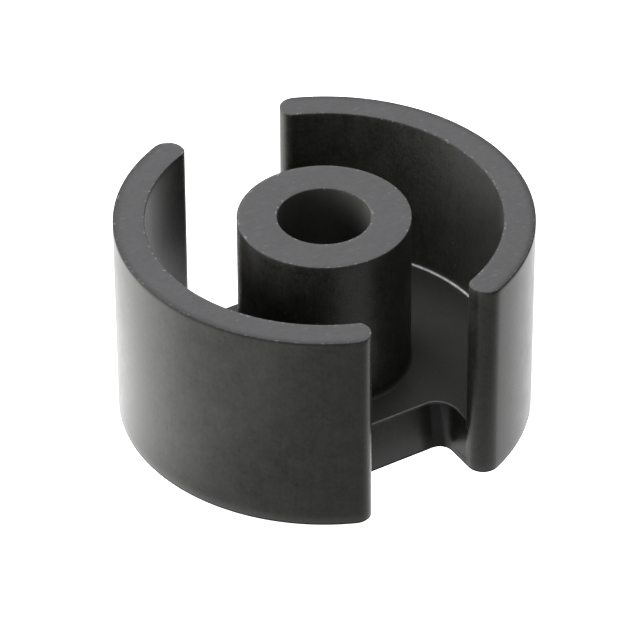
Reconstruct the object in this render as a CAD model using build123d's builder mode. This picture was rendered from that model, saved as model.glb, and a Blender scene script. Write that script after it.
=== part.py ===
"""Half of a round ferrite pot core: one pressed, sintered and ground piece.

A skirt of two curved walls stands on a round floor with a hollow centre post.
Two wide wire slots on the Y axis pass right through the skirt and run into
the floor, where each ends in a sloped lip.  Millimetres, +Z up, underside on
Z = 0, the core axis on the Z axis.
"""
import os
from math import hypot, sqrt

from build123d import *

# ---- driving sizes ---------------------------------------------------------
OUTER_DIA = 40.0          # outside of the skirt
SKIRT_THICK = 3.04        # wall of the skirt, measured along a radius
POST_DIA = 16.6           # centre post, a coil former slides over it
BORE_DIA = 8.9            # hole through the post, takes a clamping screw
HEIGHT = 21.3             # underside to mating face
FLOOR_THICK = 4.8         # underside to the bottom of the winding space
SLOT_WIDTH = 11.24        # clear width of each wire slot
LIP_INSET = 7.4           # outside of the skirt to the foot of the lip
LIP_SLOPE_RUN = 1.05      # how far the lip leans back from foot to floor
LIP_CORNER_R = 1.3        # hollow corner between lip and slot side
WALL_END_OUTER_R = 1.6    # rounding of a wall end, outside
WALL_END_INNER_R = 1.0    # rounding of a wall end, towards the winding
ROOT_R = 0.3              # fillet where post and skirt meet the floor
EDGE_BREAK = 0.12         # bevel round the mating face, the underside and the lips

# ---- derived sizes ---------------------------------------------------------
OUTER_R = OUTER_DIA / 2
INNER_R = OUTER_R - SKIRT_THICK
MID_SKIRT_R = (OUTER_R + INNER_R) / 2
POST_R = POST_DIA / 2
BORE_R = BORE_DIA / 2
WINDING_DEPTH = HEIGHT - FLOOR_THICK
SLOT_HALF = SLOT_WIDTH / 2
LIP_FOOT = OUTER_R - LIP_INSET
LIP_TOP = LIP_FOOT - LIP_SLOPE_RUN
# where a wall end's inner rounding runs out on the inside of the skirt
MOUTH_HALF = (SLOT_HALF + WALL_END_INNER_R) * INNER_R / (INNER_R + WALL_END_INNER_R)
MOUTH_START = sqrt(INNER_R**2 - MOUTH_HALF**2)
CUT_PAST = 2.0            # how far a cutting tool passes the faces it opens
LIP_RUN_PAST = CUT_PAST * LIP_SLOPE_RUN / FLOOR_THICK
TOOL_REACH = OUTER_R + CUT_PAST
TOOL_TOP = HEIGHT + CUT_PAST

# ---- wire slot tool: a prism across the skirt whose inner face leans -------
with BuildPart() as slot_tool:
    with BuildSketch(Plane.YZ.offset(-SLOT_HALF)):
        with BuildLine():
            Polyline(
                (LIP_FOOT + LIP_RUN_PAST, -CUT_PAST),
                (LIP_TOP, FLOOR_THICK),
                (LIP_TOP, TOOL_TOP),
                (TOOL_REACH, TOOL_TOP),
                (TOOL_REACH, -CUT_PAST),
                close=True,
            )
        make_face()
    extrude(amount=SLOT_WIDTH)
    lip_edges = (
        slot_tool.edges()
        .filter_by(Axis.X, reverse=True)
        .filter_by(lambda edge: edge.bounding_box().max.Y < OUTER_R)
    )
    fillet(lip_edges, radius=LIP_CORNER_R)

# ---- lip bevel tool: a shallow funnel, open to 45 degrees, up to floor level -
with BuildPart() as lip_bevel_tool:
    for spread in (-EDGE_BREAK, EDGE_BREAK):
        with BuildSketch(Plane.XY.offset(FLOOR_THICK - EDGE_BREAK + spread)) as ring:
            with Locations((0, LIP_TOP - spread)):
                Rectangle(
                    SLOT_WIDTH + 2 * spread,
                    MOUTH_START - LIP_TOP + spread,
                    align=(Align.CENTER, Align.MIN),
                )
            fillet(ring.vertices().group_by(Axis.Y)[0], radius=LIP_CORNER_R + spread)
    loft()

# ---- the core half ---------------------------------------------------------
with BuildPart() as pot_core_half:
    # drum with the centre bore
    with BuildSketch():
        Circle(OUTER_R)
        Circle(BORE_R, mode=Mode.SUBTRACT)
    extrude(amount=HEIGHT)

    # winding space: a turned groove with rounded roots
    with BuildSketch(Plane.XZ):
        with BuildLine():
            Polyline(
                (POST_R, TOOL_TOP),
                (POST_R, FLOOR_THICK),
                (INNER_R, FLOOR_THICK),
                (INNER_R, TOOL_TOP),
                close=True,
            )
        groove = make_face()
        fillet(groove.vertices().group_by(Axis.Y)[0], radius=ROOT_R)
    revolve(axis=Axis.Z, mode=Mode.SUBTRACT)

    # the two wire slots
    add(slot_tool.part, mode=Mode.SUBTRACT)
    add(slot_tool.part.mirror(Plane.XZ), mode=Mode.SUBTRACT)

    # wall ends rounded off towards the winding
    with BuildSketch(Plane.XY.offset(FLOOR_THICK)) as flare:
        Circle(INNER_R)
        Rectangle(SLOT_WIDTH, 2 * TOOL_REACH)
        mouths = flare.vertices().filter_by(lambda point: abs(point.Y) < OUTER_R)
        fillet(mouths, radius=WALL_END_INNER_R)
        Circle(INNER_R - ROOT_R, mode=Mode.SUBTRACT)
        Rectangle(2 * MOUTH_HALF, 2 * TOOL_REACH, mode=Mode.INTERSECT)
    extrude(amount=WINDING_DEPTH, mode=Mode.SUBTRACT)

    # wall ends rounded off outside
    wall_end_edges = (
        pot_core_half.edges()
        .filter_by(Axis.Z)
        .filter_by(lambda edge: hypot(edge.center().X, edge.center().Y) > MID_SKIRT_R)
        .filter_by(lambda edge: abs(edge.center().X) < MID_SKIRT_R)
    )
    fillet(wall_end_edges, radius=WALL_END_OUTER_R)

    # fine bevel on the lips, the underside and the mating face
    add(lip_bevel_tool.part, mode=Mode.SUBTRACT)
    add(lip_bevel_tool.part.mirror(Plane.XZ), mode=Mode.SUBTRACT)
    chamfer(pot_core_half.edges().group_by(Axis.Z)[0], length=EDGE_BREAK)
    chamfer(pot_core_half.edges().group_by(Axis.Z)[-1], length=EDGE_BREAK)

pot_core_half.part.label = "pot_core_half"
os.makedirs("parts", exist_ok=True)
export_step(pot_core_half.part, "parts/pot_core_half.step")
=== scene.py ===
"""Looks of the ferrite pot core half: a fine mesh, its finishes and a small studio."""
import logging
import math
from dataclasses import dataclass, field
from enum import Enum
from typing import Any, Optional, Union

import bmesh
import bpy
from mathutils import Matrix, Vector


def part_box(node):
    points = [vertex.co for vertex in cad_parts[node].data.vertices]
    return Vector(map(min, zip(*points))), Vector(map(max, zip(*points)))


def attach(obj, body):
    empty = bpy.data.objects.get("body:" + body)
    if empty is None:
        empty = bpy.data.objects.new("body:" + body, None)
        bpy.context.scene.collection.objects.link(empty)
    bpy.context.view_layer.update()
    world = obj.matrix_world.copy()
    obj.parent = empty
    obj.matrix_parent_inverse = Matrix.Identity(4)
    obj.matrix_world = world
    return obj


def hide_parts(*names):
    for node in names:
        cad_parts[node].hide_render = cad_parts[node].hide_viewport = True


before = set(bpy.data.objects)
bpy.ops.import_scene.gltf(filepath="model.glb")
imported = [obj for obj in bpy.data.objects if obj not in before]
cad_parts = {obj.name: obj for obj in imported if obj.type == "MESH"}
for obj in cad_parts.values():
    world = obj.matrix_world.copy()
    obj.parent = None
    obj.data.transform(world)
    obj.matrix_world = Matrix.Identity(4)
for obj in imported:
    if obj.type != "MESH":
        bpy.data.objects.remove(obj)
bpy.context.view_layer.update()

log = logging.getLogger("pot_core")

MM = 0.001
NEAR = 1e-4
CLOSE = 1e-3
UP = Vector((0.0, 0.0, 1.0))

Colour = tuple[float, float, float]
Number = Union[int, float]


# --------------------------------------------------------------------------
# shader helpers
# --------------------------------------------------------------------------
class Signal:
    """A number travelling through a material, with Math nodes behind its operators."""

    def __init__(self, shop: "Shop", socket: bpy.types.NodeSocket) -> None:
        """Wrap an output socket.

        Args:
            shop: the node shop that the socket belongs to.
            socket: the output socket.
        """
        self.shop = shop
        self.socket = socket

    def _math(self, operation: str, *values: "Operand", clamp: bool = False) -> "Signal":
        """Add a Math node.

        Args:
            operation: the node's operation.
            values: its inputs, in order.
            clamp: whether the result is kept from 0 to 1.

        Returns:
            The node's result.
        """
        settings = {"operation": operation, "use_clamp": clamp}
        return self.shop.add("ShaderNodeMath", settings, dict(enumerate(values)))

    def __add__(self, other: "Operand") -> "Signal":
        """Sum."""
        return self._math("ADD", self, other)

    __radd__ = __add__

    def __sub__(self, other: "Operand") -> "Signal":
        """Difference."""
        return self._math("SUBTRACT", self, other)

    def __rsub__(self, other: "Operand") -> "Signal":
        """Difference with the number first."""
        return self._math("SUBTRACT", other, self)

    def __mul__(self, other: "Operand") -> "Signal":
        """Product."""
        return self._math("MULTIPLY", self, other)

    __rmul__ = __mul__

    def __truediv__(self, other: "Operand") -> "Signal":
        """Quotient."""
        return self._math("DIVIDE", self, other)

    def __abs__(self) -> "Signal":
        """Size without sign."""
        return self._math("ABSOLUTE", self)

    def most(self, other: "Operand") -> "Signal":
        """The larger of two."""
        return self._math("MAXIMUM", self, other)

    def ramp(self, start: Number, end: Number) -> "Signal":
        """A smooth step.

        Args:
            start: the value that gives 0.
            end: the value that gives 1; it may be the smaller one.

        Returns:
            The step, from 0 to 1.
        """
        low, high = (start, end) if start < end else (end, start)
        step = self.shop.add(
            "ShaderNodeMapRange",
            {"interpolation_type": "SMOOTHSTEP", "clamp": True},
            {"Value": self, "From Min": low, "From Max": high},
        )
        return step if start < end else 1 - step


Operand = Union[Signal, Number]


class Shop:
    """The node tree of one material or world, and the one way to add a node to it."""

    def __init__(self, tree: bpy.types.NodeTree) -> None:
        """Empty the tree.

        Args:
            tree: the node tree to work in.
        """
        self.tree = tree
        tree.nodes.clear()

    def add(
        self,
        kind: str,
        settings: Optional[dict[str, Any]] = None,
        inputs: Optional[dict[Union[str, int], Any]] = None,
        output: Union[str, int] = 0,
    ) -> Signal:
        """Add a node.

        Args:
            kind: the node's type.
            settings: its properties, which are set first.
            inputs: values or links by socket name or number.
            output: the socket that is handed back.

        Returns:
            The chosen output.
        """
        node = self.tree.nodes.new(kind)
        for name, value in (settings or {}).items():
            setattr(node, name, value)
        for name, value in (inputs or {}).items():
            if isinstance(value, Signal):
                self.tree.links.new(value.socket, node.inputs[name])
            else:
                node.inputs[name].default_value = value
        found = node.outputs[output] if len(node.outputs) else None
        return Signal(self, found)

    def where(self, output: str = "Object") -> Signal:
        """Coordinates on the piece."""
        return self.add("ShaderNodeTexCoord", output=output)

    def stretch(self, vector: Signal, by: Colour) -> Signal:
        """Coordinates scaled along each axis."""
        return self.add("ShaderNodeVectorMath", {"operation": "MULTIPLY"}, {0: vector, 1: by})

    def along(self, vector: Signal, axis: str) -> Signal:
        """One of the three coordinates."""
        return self.add("ShaderNodeSeparateXYZ", inputs={0: vector}, output=axis)

    def radius(self, vector: Signal) -> Signal:
        """Distance from the upright axis."""
        flat = self.stretch(vector, (1.0, 1.0, 0.0))
        return self.add("ShaderNodeVectorMath", {"operation": "LENGTH"}, {0: flat}, output="Value")

    def noise(
        self,
        vector: Signal,
        size: float,
        detail: float = 2.0,
        rough: float = 0.5,
        offset: float = 0.0,
    ) -> Signal:
        """Noise of a given grain.

        Args:
            vector: coordinates in metres.
            size: the grain, in metres.
            detail: octaves.
            rough: how strong the finer octaves are.
            offset: moves the pattern to a fresh place.

        Returns:
            The noise, around 0.5.
        """
        moved = self.add(
            "ShaderNodeVectorMath", {"operation": "ADD"}, {0: vector, 1: (offset, offset, offset)}
        )
        return self.add(
            "ShaderNodeTexNoise",
            {"noise_dimensions": "3D"},
            {"Vector": moved, "Scale": 1 / size, "Detail": detail, "Roughness": rough},
        )

    def ragged(self, vector: Signal, size: float, reach: float) -> Signal:
        """Coordinates pushed about at random, so that round spots get broken outlines.

        Args:
            vector: coordinates in metres.
            size: the grain of the pushing, in metres.
            reach: about how far it pushes, in metres.

        Returns:
            The pushed coordinates.
        """
        push = self.add(
            "ShaderNodeTexNoise",
            {"noise_dimensions": "3D"},
            {"Vector": vector, "Scale": 1 / size, "Detail": 2.0},
            output="Color",
        )
        return self.add(
            "ShaderNodeVectorMath",
            {"operation": "MULTIPLY_ADD"},
            {0: push, 1: (reach, reach, reach), 2: vector},
        )

    def spots(self, vector: Signal, spacing: float, radius: float, share: float) -> Signal:
        """Scattered spots.

        Args:
            vector: coordinates in metres.
            spacing: size of the cells, each of which has room for one spot, in metres.
            radius: of a spot, in metres.
            share: how many of the cells have one, from 0 to 1.

        Returns:
            1 inside a spot and 0 outside.
        """
        distance = self.add(
            "ShaderNodeTexVoronoi", {"feature": "F1"}, {"Vector": vector, "Scale": 1 / spacing}
        )
        tint = Signal(self, distance.socket.node.outputs["Color"])
        lot = self.add("ShaderNodeSeparateColor", inputs={"Color": tint})
        edge = radius / spacing
        size = lot.ramp(1 - share, 1.0) * 0.6 + 0.4
        return (distance / size).ramp(edge, edge * 0.55) * lot.ramp(1 - share, 1.001 - share)

    def blend(self, share: Operand, first: Any, second: Any) -> Signal:
        """Mix two colours.

        Args:
            share: 0 gives the first and 1 the second.
            first: colour or link.
            second: colour or link.

        Returns:
            The mixed colour.
        """
        inputs = {0: share, 6: rgba(first), 7: rgba(second)}
        return self.add("ShaderNodeMix", {"data_type": "RGBA"}, inputs, output=2)


def rgba(colour: Any) -> Any:
    """A colour with its alpha, or the link as it is."""
    return colour if isinstance(colour, Signal) else (*colour, 1.0)


def grey(level: float, warmth: float = 0.0) -> Colour:
    """A linear grey, a little warmer or cooler."""
    return (level * (1 + warmth), level, level * (1 - warmth))


# --------------------------------------------------------------------------
# the core half
# --------------------------------------------------------------------------
class Finish(Enum):
    """The two surfaces that the maker leaves on a core."""

    PRESSED = 0
    GROUND = 1


@dataclass(frozen=True)
class CoreSizes:
    """Sizes of the core half in millimetres."""

    outer_r: float
    height: float
    skirt: float = 3.04
    post_r: float = 8.3
    bore_r: float = 4.45
    floor: float = 4.8
    slot_half: float = 5.62
    lip_foot: float = 12.6
    lip_run: float = 1.05
    lip_corner_r: float = 1.3
    cheek_run: float = 0.58
    end_outer_r: float = 1.6
    end_inner_r: float = 1.0
    root_r: float = 0.3
    edge: float = 0.09
    foot_edge: float = 0.04
    lip_edge: float = 0.16
    wear_and_light_band: float = 0.45

    @property
    def inner_r(self) -> float:
        """Inside radius of the skirt."""
        return self.outer_r - self.skirt

    @property
    def corner_y(self) -> float:
        """Where the lip's hollow corner meets the slot's side, measured from the axis."""
        return self.lip_foot + self.lip_corner_r


@dataclass
class Pencil:
    """Draws an outline in plan with operators, one stroke after another."""

    bm: bmesh.types.BMesh
    first: bmesh.types.BMVert
    tip: bmesh.types.BMVert
    drawn: list[bmesh.types.BMEdge] = field(default_factory=list)

    @classmethod
    def start(cls, bm: bmesh.types.BMesh, x: float, y: float) -> "Pencil":
        """Put the pencil down at a point."""
        point = bmesh.ops.create_vert(bm, co=(x, y, 0.0))["vert"][0]
        return cls(bm, point, point)

    def line(self, x: float, y: float) -> "Pencil":
        """Draw straight to a point.

        Args:
            x: the point.
            y: the point.

        Returns:
            The pencil, at the point.
        """
        made = bmesh.ops.extrude_vert_indiv(self.bm, verts=[self.tip])
        self.tip = made["verts"][0]
        self.tip.co = (x, y, 0.0)
        self.drawn += made["edges"]
        return self

    def arc(self, x: float, y: float, degrees: float, step: float = 1.2) -> "Pencil":
        """Draw an arc.

        Args:
            x: the arc's centre.
            y: the arc's centre.
            degrees: the turn, anticlockwise.
            step: degrees between points.

        Returns:
            The pencil, at the arc's end.
        """
        before = set(self.bm.edges)
        made = bmesh.ops.spin(
            self.bm,
            geom=[self.tip],
            cent=(x, y, 0.0),
            axis=UP,
            angle=math.radians(degrees),
            steps=max(2, round(abs(degrees) / step)),
            use_duplicate=False,
        )
        self.tip = made["geom_last"][0]
        self.drawn += [edge for edge in self.bm.edges if edge not in before]
        return self

    def close(self) -> list[bmesh.types.BMEdge]:
        """Draw straight back to the start and hand over the whole outline."""
        self.drawn.append(self.bm.edges.new((self.tip, self.first)))
        return self.drawn


def bearing(x: float, y: float) -> float:
    """Direction of a point in plan, in degrees."""
    return math.degrees(math.atan2(y, x))


@dataclass
class CoreHalf:
    """The one pressed, sintered and ground piece.

    Steps of arcs and the turns that make a crease are in degrees.
    """

    sizes: CoreSizes
    name: str = "core_half"
    post_step: float = 2.5
    bore_step: float = 3.75
    round_step: float = 9.0
    foot_share: float = 0.15
    root_strips: int = 4
    rim_strips: int = 3
    crease: float = 38.0
    tight_corner: float = 60.0
    slight_turn: float = 10.0
    bm: bmesh.types.BMesh = field(default_factory=bmesh.new)

    # ---- outline ---------------------------------------------------------
    def _fill(self, pencil: Pencil) -> None:
        """Close an outline and fill it with one flat face."""
        ring = pencil.close()
        bmesh.ops.contextual_create(self.bm, geom=ring)

    def draw_quarter(self) -> None:
        """Draw the plan of a quarter: its wall, its post and its floor with the slot's lip."""
        s, bm = self.sizes, self.bm
        inner_x, outer_x = s.slot_half + s.end_inner_r, s.slot_half + s.end_outer_r
        inner_y = math.sqrt((s.inner_r + s.end_inner_r) ** 2 - inner_x**2)
        outer_y = math.sqrt((s.outer_r - s.end_outer_r) ** 2 - outer_x**2)
        inner_turn, outer_turn = bearing(inner_x, inner_y), bearing(outer_x, outer_y)

        wall = Pencil.start(bm, s.outer_r, 0).arc(0, 0, outer_turn)
        wall.arc(outer_x, outer_y, 180 - outer_turn, self.round_step).line(s.slot_half, inner_y)
        wall.arc(inner_x, inner_y, inner_turn, self.round_step)
        self._fill(wall.arc(0, 0, -inner_turn))

        post = Pencil.start(bm, s.post_r, 0).arc(0, 0, 90, self.post_step).line(0, s.bore_r)
        self._fill(post.arc(0, 0, -90, self.bore_step))

        border = s.inner_r - 2 * s.root_r
        border_turn = math.degrees(math.acos((s.slot_half + s.cheek_run + s.root_r) / border))
        border_end = Matrix.Rotation(math.radians(border_turn), 2) @ Vector((border, 0.0))
        wall_end = Matrix.Rotation(math.radians(inner_turn), 2) @ Vector((s.inner_r, 0.0))
        root = Pencil.start(bm, s.inner_r, 0).arc(0, 0, inner_turn).line(*border_end)
        self._fill(root.arc(0, 0, -border_turn))

        steps = round(inner_turn / self.round_step)
        last_but_one = inner_turn * (steps - 1) / steps
        cheek_turn = math.radians(180 + last_but_one)
        cheek_x = inner_x + s.end_inner_r * math.cos(cheek_turn)
        cheek_y = inner_y + s.end_inner_r * math.sin(cheek_turn)
        cheek = Pencil.start(bm, cheek_x, cheek_y)
        cheek.arc(inner_x, inner_y, -last_but_one, self.round_step)
        self._fill(cheek.line(s.slot_half, s.corner_y))

        ground = Pencil.start(bm, border, 0).arc(0, 0, border_turn).line(*wall_end)
        ground.line(cheek_x, cheek_y).line(s.slot_half, s.corner_y)
        ground.arc(s.slot_half - s.lip_corner_r, s.corner_y, -90, self.round_step)
        ground.line(0, s.lip_foot).line(0, s.post_r)
        self._fill(ground.arc(0, 0, -90, self.post_step))
        bmesh.ops.remove_doubles(bm, verts=bm.verts[:], dist=CLOSE)

    def mirror_quarter(self) -> None:
        """Turn the quarter into the full plan."""
        for axis in "XY":
            whole = self.bm.verts[:] + self.bm.edges[:] + self.bm.faces[:]
            bmesh.ops.mirror(self.bm, geom=whole, axis=axis, merge_dist=NEAR)

    # ---- solid -----------------------------------------------------------
    def _lift(self, faces: list[bmesh.types.BMFace], height: float, keep: bool) -> None:
        """Extrude faces straight up.

        Args:
            faces: the faces.
            height: how far.
            keep: whether the faces stay below as well.
        """
        made = bmesh.ops.extrude_face_region(self.bm, geom=faces, use_keep_orig=True)["geom"]
        risen = [item for item in made if isinstance(item, bmesh.types.BMVert)]
        bmesh.ops.translate(self.bm, vec=UP * height, verts=risen)
        if not keep:
            bmesh.ops.delete(self.bm, geom=faces, context="FACES")

    def raise_solid(self) -> None:
        """Lift the floor off the underside, then the walls and the post off the floor."""
        s, bm = self.sizes, self.bm
        self._lift(bm.faces[:], s.floor, keep=True)
        under = self._level(0.0)
        inside = [e for e in bm.edges if set(e.link_faces) <= set(under) and not self._on_axis(e)]
        bmesh.ops.dissolve_edges(bm, edges=inside, use_verts=True)
        for vert in bm.verts:
            if self._on_lip(vert):
                self._draw_back(vert)
        middle = (s.bore_r + s.post_r) / 2
        tall = [f for f in self._level(s.floor) if self._stands(f, middle)]
        self._lift(tall, s.height - s.floor, keep=False)
        self._slide_down()
        bmesh.ops.recalc_face_normals(bm, faces=bm.faces[:])

    def _level(self, z: float) -> list[bmesh.types.BMFace]:
        """The flat faces at a height."""
        return [f for f in self.bm.faces if all(abs(v.co.z - z) < NEAR for v in f.verts)]

    @staticmethod
    def _on_axis(edge: bmesh.types.BMEdge) -> bool:
        """Whether an edge lies on the X or Y axis in plan."""
        a, b = (v.co for v in edge.verts)
        return abs(a.x) + abs(b.x) < NEAR or abs(a.y) + abs(b.y) < NEAR

    def _on_lip(self, vert: bmesh.types.BMVert) -> bool:
        """Tell whether a point belongs to a lip's top edge, hollow corners included.

        Args:
            vert: the point.

        Returns:
            True if it does.
        """
        s, x, y = self.sizes, abs(vert.co.x), abs(vert.co.y)
        at_floor = abs(vert.co.z - s.floor) < NEAR
        return at_floor and x < s.slot_half + NEAR and s.lip_foot - CLOSE < y < s.corner_y + CLOSE

    def _draw_back(self, vert: bmesh.types.BMVert) -> None:
        """Move a point of the slot's top edge outwards, so that the slot opens like a funnel.

        Args:
            vert: the point.
        """
        s = self.sizes
        centre = s.slot_half - s.lip_corner_r
        turned = max(0.0, abs(vert.co.x) - centre) / s.lip_corner_r
        level = (s.corner_y - abs(vert.co.y)) / s.lip_corner_r
        vert.co.x += math.copysign(turned * s.cheek_run, vert.co.x)
        vert.co.y -= math.copysign(level * s.lip_run, vert.co.y)

    def _slide_down(self) -> None:
        """Carry the rounded ends of the wall down to the slot's sloping cheeks."""
        s = self.sizes
        x = s.slot_half + s.end_inner_r
        centre = Vector((x, math.sqrt((s.inner_r + s.end_inner_r) ** 2 - x**2)))
        ring = [
            v
            for v in self.bm.verts
            if abs(v.co.z - s.floor) < NEAR
            and abs((Vector((abs(v.co.x), abs(v.co.y))) - centre).length - s.end_inner_r) < CLOSE
        ]
        reach = sorted({round(abs(v.co.x) - s.slot_half, 4) for v in ring})[-2]
        for vert in ring:
            share = (abs(vert.co.x) - s.slot_half) / reach
            vert.co.z *= min(1.0, max(self.foot_share, share))
        folds = [
            edge
            for vert in ring
            for edge in vert.link_edges
            if vert.co.z < s.floor - CLOSE
            and abs(abs(edge.other_vert(vert).co.y) - s.corner_y) < CLOSE
        ]
        bmesh.ops.dissolve_edges(self.bm, edges=folds, use_verts=False)

    def _stands(self, face: bmesh.types.BMFace, middle: float) -> bool:
        """Tell whether a floor-level face carries a wall or the post.

        Args:
            face: the face.
            middle: a radius halfway through the post.

        Returns:
            True if it does.
        """
        s = self.sizes
        radii = [v.co.xy.length for v in face.verts]
        return max(radii) > s.outer_r - CLOSE or min(radii) < middle

    # ---- edges -----------------------------------------------------------
    def _rims(self, z: float) -> list[bmesh.types.BMEdge]:
        """Sharp outer edges that lie flat at a height."""
        return [
            e
            for e in self.bm.edges
            if all(abs(v.co.z - z) < CLOSE for v in e.verts)
            and e.calc_face_angle() > 1.0
            and e.is_convex
        ]

    def _roots(self) -> list[bmesh.types.BMEdge]:
        """Edges where the post and the inside of the skirt meet the floor."""
        s = self.sizes
        return [
            e
            for e in self.bm.edges
            if all(abs(v.co.z - s.floor) < CLOSE for v in e.verts)
            and any(
                all(abs(v.co.xy.length - r) < CLOSE for v in e.verts)
                for r in (s.post_r, s.inner_r)
            )
        ]

    def _round(
        self, edges: list[bmesh.types.BMEdge], radius: float, strips: int
    ) -> set[bmesh.types.BMVert]:
        """Round edges off.

        Args:
            edges: the edges.
            radius: size of the rounding.
            strips: faces across it.

        Returns:
            The points of the new strips.
        """
        made = bmesh.ops.bevel(
            self.bm,
            geom=edges,
            offset=radius,
            offset_type="OFFSET",
            segments=strips,
            profile=0.5,
            affect="EDGES",
            clamp_overlap=False,
            loop_slide=True,
            material=-1,
        )
        return {v for f in made["faces"] for v in f.verts}

    def finish_edges(self) -> None:
        """Round the roots and break the rims, with a border beside each rim for its wear; mark the
        rims and the skirt's root for chips, painted highlights and painted shadow.
        """
        s, bm = self.sizes, self.bm
        for z in (s.edge + s.wear_and_light_band, s.floor - s.edge - s.wear_and_light_band, s.height - s.edge - s.wear_and_light_band):
            whole = bm.verts[:] + bm.edges[:] + bm.faces[:]
            bmesh.ops.bisect_plane(bm, geom=whole, plane_co=UP * z, plane_no=UP)
        wear_and_light_band, root_glint = (bm.verts.layers.float.new(name) for name in ("wear_and_light_band", "root_glint"))
        # painted highlight: a bright line along the skirt's root fillet, strongest across its
        # middle
        for vert in self._round(self._roots(), s.root_r, self.root_strips):
            depth = 1 - (vert.co.z - s.floor) / s.root_r
            if 0.02 < depth < 0.98 and vert.co.xy.length > s.inner_r - 2 * s.root_r:
                vert[root_glint] = 1.0 if 0.6 < depth < 0.8 else 0.4
        # the lip rims get chips and a painted highlight
        for vert in self._round(self._rims(s.floor), s.lip_edge, self.rim_strips):
            vert[wear_and_light_band] = float(0.01 < s.floor - vert.co.z < s.lip_edge - 0.01)
        # top and bottom rims: chips, a darker outer strip, and at the bottom a painted contact
        # shadow
        for z, size in ((0.0, s.foot_edge), (s.height, s.edge)):
            for vert in self._round(self._rims(z), size, self.rim_strips):
                vert[wear_and_light_band] = 1.0
            border = bmesh.ops.inset_region(
                bm, faces=self._level(z), thickness=s.wear_and_light_band, use_even_offset=True
            )["faces"]
            for vert in {v for face in self._level(z) for v in face.verts}:
                vert[wear_and_light_band] = 1.0
            for vert in {v for face in set(self._level(z)) - set(border) for v in face.verts}:
                vert[wear_and_light_band] = 0.0
        bmesh.ops.dissolve_degenerate(bm, edges=bm.edges[:], dist=0.002)

    # ---- piece -----------------------------------------------------------
    def dress(self) -> None:
        """Say which faces were ground and which are as pressed."""
        ground = set(self._level(0.0)) | set(self._level(self.sizes.height))
        for face in self.bm.faces:
            face.material_index = (Finish.GROUND if face in ground else Finish.PRESSED).value

    def shade(self) -> None:
        """Shade the faces smooth, apart from steep edges and the edges of tight corners."""
        self.bm.normal_update()
        for face in self.bm.faces:
            face.smooth = True
        for edge in self.bm.edges:
            edge.smooth = edge.calc_face_angle(0.0) < math.radians(self.crease)
        slight = math.radians(self.slight_turn)
        for vert in self.bm.verts:
            turns = [a.normal.angle(b.normal) for a in vert.link_faces for b in vert.link_faces]
            if max(turns) > math.radians(self.tight_corner):
                for edge in vert.link_edges:
                    edge.smooth = edge.smooth and edge.calc_face_angle(0.0) < slight

    def build(self, materials: list[bpy.types.Material]) -> bpy.types.Object:
        """Make the piece.

        Args:
            materials: one for each finish, in the order of the finishes.

        Returns:
            The piece, riding on the root body in place of its CAD node.
        """
        self.draw_quarter()
        self.mirror_quarter()
        self.raise_solid()
        self.finish_edges()
        self.dress()
        self.shade()
        bmesh.ops.scale(self.bm, vec=(MM, MM, MM), verts=self.bm.verts[:])
        mesh = bpy.data.meshes.new(self.name)
        self.bm.to_mesh(mesh)
        self.bm.free()
        piece = bpy.data.objects.new(self.name, mesh)
        bpy.context.scene.collection.objects.link(piece)
        for material in materials:
            mesh.materials.append(material)
        weighted = piece.modifiers.new("even_shading", "WEIGHTED_NORMAL")
        weighted.keep_sharp = True
        weighted.weight = 60
        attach(piece, "root")
        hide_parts("pot_core_half")
        log.info("%s: %d faces", piece.name, len(mesh.polygons))
        return piece


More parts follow.
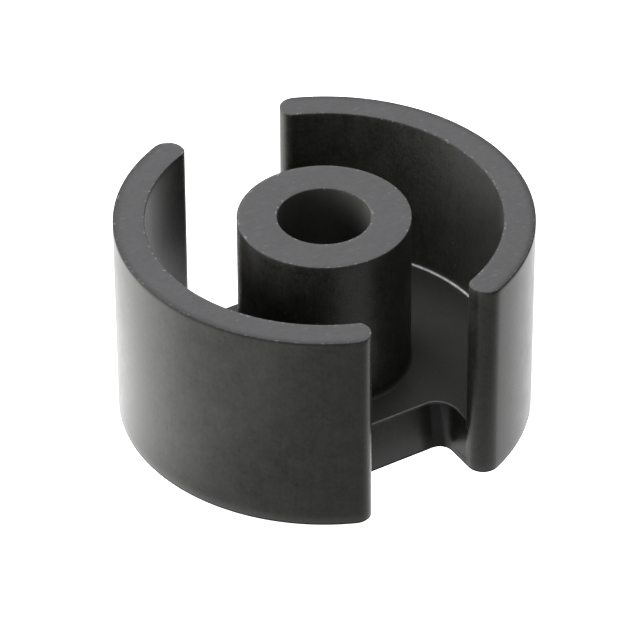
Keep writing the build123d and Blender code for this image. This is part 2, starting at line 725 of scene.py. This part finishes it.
# --------------------------------------------------------------------------
# finishes
# --------------------------------------------------------------------------
@dataclass(frozen=True)
class PressedSkin:
    """Ferrite as it leaves the die and the kiln: near black and faintly drawn upwards, with
    painted highlights, glow and shade.
    """

    sizes: CoreSizes
    colour: Colour = (0.0102, 0.0100, 0.0076)
    pale: Colour = (0.0350, 0.0343, 0.0298)
    cool: Colour = (0.0205, 0.0210, 0.0260)
    # paler grey of the painted light on the winding floor, in the bore and near the bottom
    painted_light_grey: Colour = (0.0750, 0.0755, 0.0740)
    # white of the painted highlight along the skirt's root fillet
    glint_white: Colour = (0.9000, 0.9050, 0.9100)
    # grey of the painted highlight along the lip's top rim
    lip_glint: Colour = grey(0.30)
    crumb: Colour = grey(0.11)
    chip: Colour = grey(0.13)
    hole: Colour = grey(0.004)
    # dark of the painted shade and of the darker rim strips
    dark_matte: Colour = grey(0.024)
    roughness: float = 0.30
    gloss: float = 0.19

    def material(self) -> bpy.types.Material:
        """Build the material.

        Returns:
            The material.
        """
        made = bpy.data.materials.new("ferrite_pressed")
        made.use_nodes = True
        shop = Shop(made.node_tree)
        s = self.sizes
        place = shop.where()
        high, radius = shop.along(place, "Z"), shop.radius(place)
        wear_and_light_band = shop.add("ShaderNodeAttribute", {"attribute_name": "wear_and_light_band"}, output="Fac")
        root_glint = shop.add("ShaderNodeAttribute", {"attribute_name": "root_glint"}, output="Fac")

        # where on the piece
        within = radius.ramp((s.inner_r + 0.6) * MM, (s.inner_r + 0.3) * MM)
        inside = within * high.ramp((s.floor - 0.4) * MM, (s.floor - 0.2) * MM)
        aside = abs(shop.along(place, "X"))
        slope = within - inside
        corner = aside.ramp((s.slot_half - 2.9) * MM, (s.slot_half - 1.7) * MM) * slope
        hollow = aside.ramp((s.slot_half - 0.03) * MM, (s.slot_half - 0.3) * MM)
        # painted shade in the lip's hollow corners, under the rim
        nook_shade = corner * (hollow * 0.6 + 0.1)
        # painted shade on the slot's faces, darker towards the floor's level
        shade = slope * high.ramp((s.floor - 3.2) * MM, (s.floor - 0.5) * MM)
        # the bore's inside, painted paler to stand in for light that does not reach it
        bore = radius.ramp((s.bore_r + 0.6) * MM, (s.bore_r + 0.3) * MM)
        low = high.ramp((s.floor + 0.8) * MM, (s.floor + 0.1) * MM)
        low = low * high.ramp((s.floor - 0.30) * MM, (s.floor - 0.16) * MM)
        # painted glow near the bottom, standing in for light thrown up by the floor
        painted_foot_glow = high.ramp(1.3 * MM, 0.1 * MM)
        rim = wear_and_light_band.ramp(0.55, 0.95)
        # the lip rims, which carry the painted highlight
        lip = rim * low
        outline = rim * radius.ramp((s.outer_r - 0.4) * MM, (s.outer_r - 0.3) * MM)

        # grain and marks
        drawn = shop.stretch(place, (1.0, 1.0, 0.05))
        broken = shop.ragged(place, 0.15 * MM, 0.12 * MM)
        cloud = shop.noise(place, 2.0 * MM, 4.0, 0.6)
        patch = shop.noise(place, 6.0 * MM, 1.0, offset=0.9).ramp(0.42, 0.62)
        drag = shop.noise(drawn, 0.30 * MM, 2.0, offset=0.3)
        score = shop.noise(drawn, 0.16 * MM, 1.0, offset=1.3).ramp(0.62, 0.74) * patch
        grain = shop.noise(place, 0.16 * MM, 2.0, 0.6, offset=0.7)
        mottle = shop.noise(place, 0.45 * MM, 1.0, offset=2.7)
        hue = shop.noise(place, 0.9 * MM, 2.0, offset=5.1).ramp(0.42, 0.58)
        fleck = shop.spots(shop.stretch(broken, (1.0, 1.0, 0.4)), 0.75 * MM, 0.10 * MM, 0.16)
        pit = shop.spots(broken, 1.1 * MM, 0.12 * MM, 0.12)
        crumb = shop.spots(shop.stretch(broken, (1.0, 1.0, 1.1)), 0.7 * MM, 0.10 * MM, 0.14)
        nick = shop.noise(place, 0.35 * MM, 3.0, offset=1.9).ramp(0.60, 0.68) * rim

        # colour
        tone = cloud.ramp(0.32, 0.68) * 0.40 + drag.ramp(0.3, 0.7) * 0.15 + grain * 0.45
        tone = tone + (mottle - 0.5) * 0.9 + (grain - 0.5) * inside * 1.6
        body = shop.blend(tone, self.colour, self.pale)
        body = shop.blend(hue * 0.3, body, self.cool)
        # painted glow: lighter towards the bottom on the outer faces, and painted reflection low
        # on the slot's faces away from its corners
        painted_foot_glow = (painted_foot_glow * (1 - slope) * 0.7).most((slope - corner) * high.ramp(2.8 * MM, 0.0))
        # painted light: the winding floor, the bore and the bottom lightened towards a paler grey
        painted_light_share = (inside * low * 0.55).most(bore * 0.6).most(painted_foot_glow)
        body = shop.blend(painted_light_share, body, self.painted_light_grey)
        body = shop.blend(crumb * (inside * 0.6 + 0.3), body, self.crumb)
        # painted highlight along the lip's top rim
        body = shop.blend(lip * (0.3 + cloud), body, self.lip_glint)
        body = shop.blend(nick * 0.5, body, self.chip)
        # painted highlight along the skirt's root fillet
        body = shop.blend(root_glint.ramp(0.1, 0.9) * (0.45 + mottle), body, self.glint_white)
        body = shop.blend((fleck * 0.6).most(pit * 0.5), body, self.hole)

        # relief and gloss
        height = grain * (0.6 + inside * 1.4) + mottle * 0.3 + drag * 0.12
        height = height - score * 0.25 - pit * 1.6 - fleck * 0.8 + crumb * 0.8 - nick * 0.8
        bump = shop.add(
            "ShaderNodeBump", inputs={"Height": height, "Strength": 0.5, "Distance": 0.02 * MM}
        )
        roughness = self.roughness + (cloud - 0.5) * 0.14 + (grain - 0.5) * 0.08 + inside * 0.12
        surface = shop.add(
            "ShaderNodeBsdfPrincipled",
            inputs={
                "Base Color": body,
                "Roughness": roughness,
                "Specular IOR Level": self.gloss,
                "Normal": bump,
            },
        )

        # dark matte over it: painted contact shadow along the bottom rim, painted shade in the
        # lip's hollow corners and on the slot's faces, and darker outer rim strips
        dark_matte = shop.add("ShaderNodeBsdfDiffuse", inputs={"Color": rgba(self.dark_matte)})
        # painted contact shadow along the bottom rim
        sole_shadow = rim * high.ramp(0.3 * MM, 0.15 * MM)
        darkening = (outline * 0.5).most(sole_shadow * 0.9).most(nook_shade * (0.65 + cloud * 0.5))
        darkening = darkening.most(shade * 0.25)
        mixed = shop.add("ShaderNodeMixShader", inputs={0: darkening, 1: surface, 2: dark_matte})
        shop.add("ShaderNodeOutputMaterial", inputs={"Surface": mixed})
        return made


@dataclass(frozen=True)
class GroundFace:
    """Ferrite cut flat by a wheel: a paler grey with a few open pores and nicked rims."""

    sizes: CoreSizes
    colour: Colour = (0.0225, 0.0228, 0.0252)
    pale: Colour = (0.0425, 0.0427, 0.0456)
    stain: Colour = (0.0310, 0.0285, 0.0235)
    scuff: Colour = grey(0.065)
    pore: Colour = grey(0.010)
    chip: Colour = grey(0.24)
    dark_matte: Colour = grey(0.012)
    roughness: float = 0.5
    gloss: float = 0.5

    def material(self) -> bpy.types.Material:
        """Build the material.

        Returns:
            The material.
        """
        made = bpy.data.materials.new("ferrite_ground")
        made.use_nodes = True
        shop = Shop(made.node_tree)
        place = shop.where()
        wear_and_light_band = shop.add("ShaderNodeAttribute", {"attribute_name": "wear_and_light_band"}, output="Fac")
        brink = shop.radius(place).ramp((self.sizes.outer_r - 1.1) * MM, self.sizes.outer_r * MM)
        broken = shop.ragged(place, 0.15 * MM, 0.12 * MM)
        lay = shop.noise(shop.stretch(place, (0.03, 1.0, 1.0)), 0.14 * MM, 2.0, offset=0.4)
        cloud = shop.noise(place, 3.0 * MM, 3.0, offset=0.2)
        smear = shop.noise(place, 2.2 * MM, 2.0, offset=4.2).ramp(0.58, 0.75)
        grain = shop.noise(place, 0.16 * MM, 2.0, 0.6, offset=0.5)
        mottle = shop.noise(place, 0.50 * MM, 2.0, offset=3.3)
        stroke = shop.stretch(place, (0.4, 1.0, 1.0))
        scuff = shop.noise(stroke, 0.45 * MM, 2.0, offset=6.2).ramp(0.62, 0.72)
        pore = shop.spots(broken, 0.9 * MM, 0.07 * MM, 0.10)
        spark = shop.spots(shop.stretch(broken, (1.1, 1.0, 1.0)), 1.6 * MM, 0.11 * MM, 0.10)
        nick = (shop.noise(place, 0.40 * MM, 3.0, offset=1.9) + wear_and_light_band * 0.22).ramp(0.76, 0.84)
        tone = cloud.ramp(0.3, 0.7) * 0.35 + grain * 0.35 + lay.ramp(0.3, 0.7) * 0.3
        tone = tone + (mottle - 0.5) * 1.2
        body = shop.blend(tone, self.colour, self.pale)
        body = shop.blend(smear * 0.5, body, self.stain)
        body = shop.blend(scuff * 0.6, body, self.scuff)
        body = shop.blend(pore * 0.5, body, self.pore)
        body = shop.blend((spark * 0.5).most(nick * 0.6), body, self.chip)
        height = grain * 0.2 + lay * 0.15 - pore * 0.6 - nick * 0.5
        bump = shop.add(
            "ShaderNodeBump", inputs={"Height": height, "Strength": 0.4, "Distance": 0.012 * MM}
        )
        surface = shop.add(
            "ShaderNodeBsdfPrincipled",
            inputs={
                "Base Color": body,
                "Roughness": self.roughness + (grain - 0.5) * 0.06 + (cloud - 0.5) * 0.08,
                "Specular IOR Level": self.gloss,
                "Normal": bump,
            },
        )
        dark_matte = shop.add("ShaderNodeBsdfDiffuse", inputs={"Color": rgba(self.dark_matte)})
        # darker towards the outer edge of the face
        darkening = brink * brink * 0.4
        mixed = shop.add("ShaderNodeMixShader", inputs={0: darkening, 1: surface, 2: dark_matte})
        shop.add("ShaderNodeOutputMaterial", inputs={"Surface": mixed})
        return made


# --------------------------------------------------------------------------
# studio
# --------------------------------------------------------------------------
@dataclass(frozen=True)
class Softbox:
    """A square soft light that looks at the core."""

    name: str
    azimuth: float
    elevation: float
    level: float
    distance: float = 0.6
    width: float = 0.35

    def place(self, aim: Vector) -> bpy.types.Object:
        """Hang the light.

        Args:
            aim: the point it looks at.

        Returns:
            The lamp.
        """
        lamp = bpy.data.lights.new(self.name, "AREA")
        lamp.shape = "SQUARE"
        lamp.size = self.width
        lamp.energy = self.level * math.pi * self.width**2
        made = bpy.data.objects.new(self.name, lamp)
        bpy.context.scene.collection.objects.link(made)
        back = direction(self.azimuth, self.elevation)
        made.location = aim + back * self.distance
        made.rotation_euler = back.to_track_quat("Z", "Y").to_euler()
        return made


def direction(azimuth: float, elevation: float) -> Vector:
    """Unit vector from the core towards a place in the studio.

    Args:
        azimuth: 0 is the -Y side, 90 the +X side, in degrees.
        elevation: degrees above the floor.

    Returns:
        The vector.
    """
    a, e = math.radians(azimuth), math.radians(elevation)
    return Vector((math.sin(a) * math.cos(e), -math.cos(a) * math.cos(e), math.sin(e)))


@dataclass
class Studio:
    """Pale floor, soft light and the camera.

    Angles are in degrees, the camera's distance and steps in metres, and the bands over
    which the floor's glow changes in millimetres.
    """

    aim: Vector
    azimuth: float = -31.57
    elevation: float = 37.1217
    roll: float = -0.2313
    distance: float = 0.480108
    step_right: float = -0.000434
    step_up: float = -0.001324
    lens: float = 282.2
    sensor: float = 36.0
    floor_r: float = 1.5
    floor_tone: float = 0.50
    glow_near: float = 0.90
    glow_far: float = 2.03
    glow_left: float = 1.10
    far_band: tuple[float, float] = (10, 26)
    left_band: tuple[float, float] = (16, 26)
    front_band: tuple[float, float] = (-26, 6)
    left_turn: float = -75.0
    shadow: float = 0.25
    sky: float = 0.28
    boxes: tuple[Softbox, ...] = (
        Softbox("low_back_box", -161.6, 12.0, 3.7),
        Softbox("high_back_box", -161.6, 40.0, 6.1),
        Softbox("low_left_box", -126.6, 12.0, 8.9),
        Softbox("low_front_box", -91.6, 12.0, 5.2),
        Softbox("high_right_box", 133.4, 40.0, 1.2),
        Softbox("top_box", 148.4, 86.0, 1.9),
    )

    def lay_floor(self) -> bpy.types.Object:
        """Lay a pale round floor on which the core stands.

        Returns:
            The floor.
        """
        bm = bmesh.new()
        bmesh.ops.create_circle(bm, cap_ends=True, segments=96, radius=self.floor_r)
        mesh = bpy.data.meshes.new("floor")
        bm.to_mesh(mesh)
        bm.free()
        made = bpy.data.objects.new("floor", mesh)
        bpy.context.scene.collection.objects.link(made)
        finish = bpy.data.materials.new("floor_white")
        finish.use_nodes = True
        shop = Shop(finish.node_tree)
        matt = shop.add("ShaderNodeBsdfDiffuse", inputs={"Color": rgba(grey(self.floor_tone))})
        near = self._towards(shop, 0.0).ramp(*(edge * MM for edge in self.far_band))
        left = self._towards(shop, self.left_turn).ramp(*(edge * MM for edge in self.left_band))
        left = left * self._towards(shop, 0.0).ramp(*(edge * MM for edge in self.front_band))
        level = near * (self.glow_near - self.glow_far) + self.glow_far + left * self.glow_left
        strength = level / (1 - self.shadow)
        glow = shop.add(
            "ShaderNodeEmission", inputs={"Color": rgba(grey(1.0)), "Strength": strength}
        )
        share = self._seen(shop) * (1 - self.shadow)
        both = shop.add("ShaderNodeMixShader", inputs={0: share, 1: matt, 2: glow})
        shop.add("ShaderNodeOutputMaterial", inputs={"Surface": both})
        mesh.materials.append(finish)
        return made

    def _towards(self, shop: Shop, azimuth: float) -> Signal:
        """Measure how far a place on the floor lies towards the camera, or to a side of that.

        Args:
            shop: the node shop of the floor's finish.
            azimuth: the side, in degrees from the camera.

        Returns:
            The distance from the middle, in metres.
        """
        facing = {0: shop.where(), 1: direction(self.azimuth + azimuth, 0.0)}
        settings = {"operation": "DOT_PRODUCT"}
        return shop.add("ShaderNodeVectorMath", settings, facing, output="Value")

    @staticmethod
    def _seen(shop: Shop) -> Signal:
        """Pick out the rays that come straight from the camera, a mirror or glass.

        Args:
            shop: the node shop to work in.

        Returns:
            1 for such a ray and 0 for others.
        """
        path = shop.add("ShaderNodeLightPath", output="Is Camera Ray")
        outputs = path.socket.node.outputs
        glossy = Signal(shop, outputs["Is Glossy Ray"])
        through = Signal(shop, outputs["Is Transmission Ray"])
        return path.most(glossy).most(through)

    def hang_sky(self) -> None:
        """Surround the floor with an even pale sky that shows as white."""
        world = bpy.data.worlds.new("studio")
        world.use_nodes = True
        bpy.context.scene.world = world
        shop = Shop(world.node_tree)
        strength = self._seen(shop) * (1 - self.sky) + self.sky
        sky = shop.add(
            "ShaderNodeBackground", inputs={"Color": rgba(grey(1.0)), "Strength": strength}
        )
        shop.add("ShaderNodeOutputWorld", inputs={"Surface": sky})

    def set_camera(self) -> bpy.types.Object:
        """Stand the camera at the viewing angle.

        Returns:
            The camera.
        """
        back = direction(self.azimuth, self.elevation)
        across = direction(self.azimuth + 90.0, 0.0)
        over = back.cross(across)
        roll = math.radians(self.roll)
        right = across * math.cos(roll) + over * math.sin(roll)
        up = over * math.cos(roll) - across * math.sin(roll)
        lens = bpy.data.cameras.new("camera")
        lens.lens = self.lens
        lens.sensor_width = self.sensor
        lens.clip_start = 0.01
        made = bpy.data.objects.new("camera", lens)
        bpy.context.scene.collection.objects.link(made)
        place = self.aim + back * self.distance + right * self.step_right + up * self.step_up
        turn = Matrix((right, up, back)).transposed().to_4x4()
        made.matrix_world = Matrix.Translation(place) @ turn
        bpy.context.scene.camera = made
        return made

    def set_up(self) -> None:
        """Build the studio."""
        self.lay_floor()
        self.hang_sky()
        for box in self.boxes:
            box.place(self.aim)
            log.info("lamp %s", box.name)
        self.set_camera()
        bpy.context.scene.view_settings.view_transform = "Standard"


def main() -> None:
    """Build the core, dress it, and set up the studio."""
    logging.basicConfig(level=logging.INFO, format="%(name)s: %(message)s")
    low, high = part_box("pot_core_half")
    width, height = (high.x - low.x) / MM, (high.z - low.z) / MM
    sizes = CoreSizes(outer_r=round(width / 2, 1), height=round(height, 2))
    materials = [PressedSkin(sizes).material(), GroundFace(sizes).material()]
    CoreHalf(sizes).build(materials)
    Studio(aim=Vector((0.0, 0.0, (low.z + high.z) / 2))).set_up()


if __name__ == "__main__":
    main()
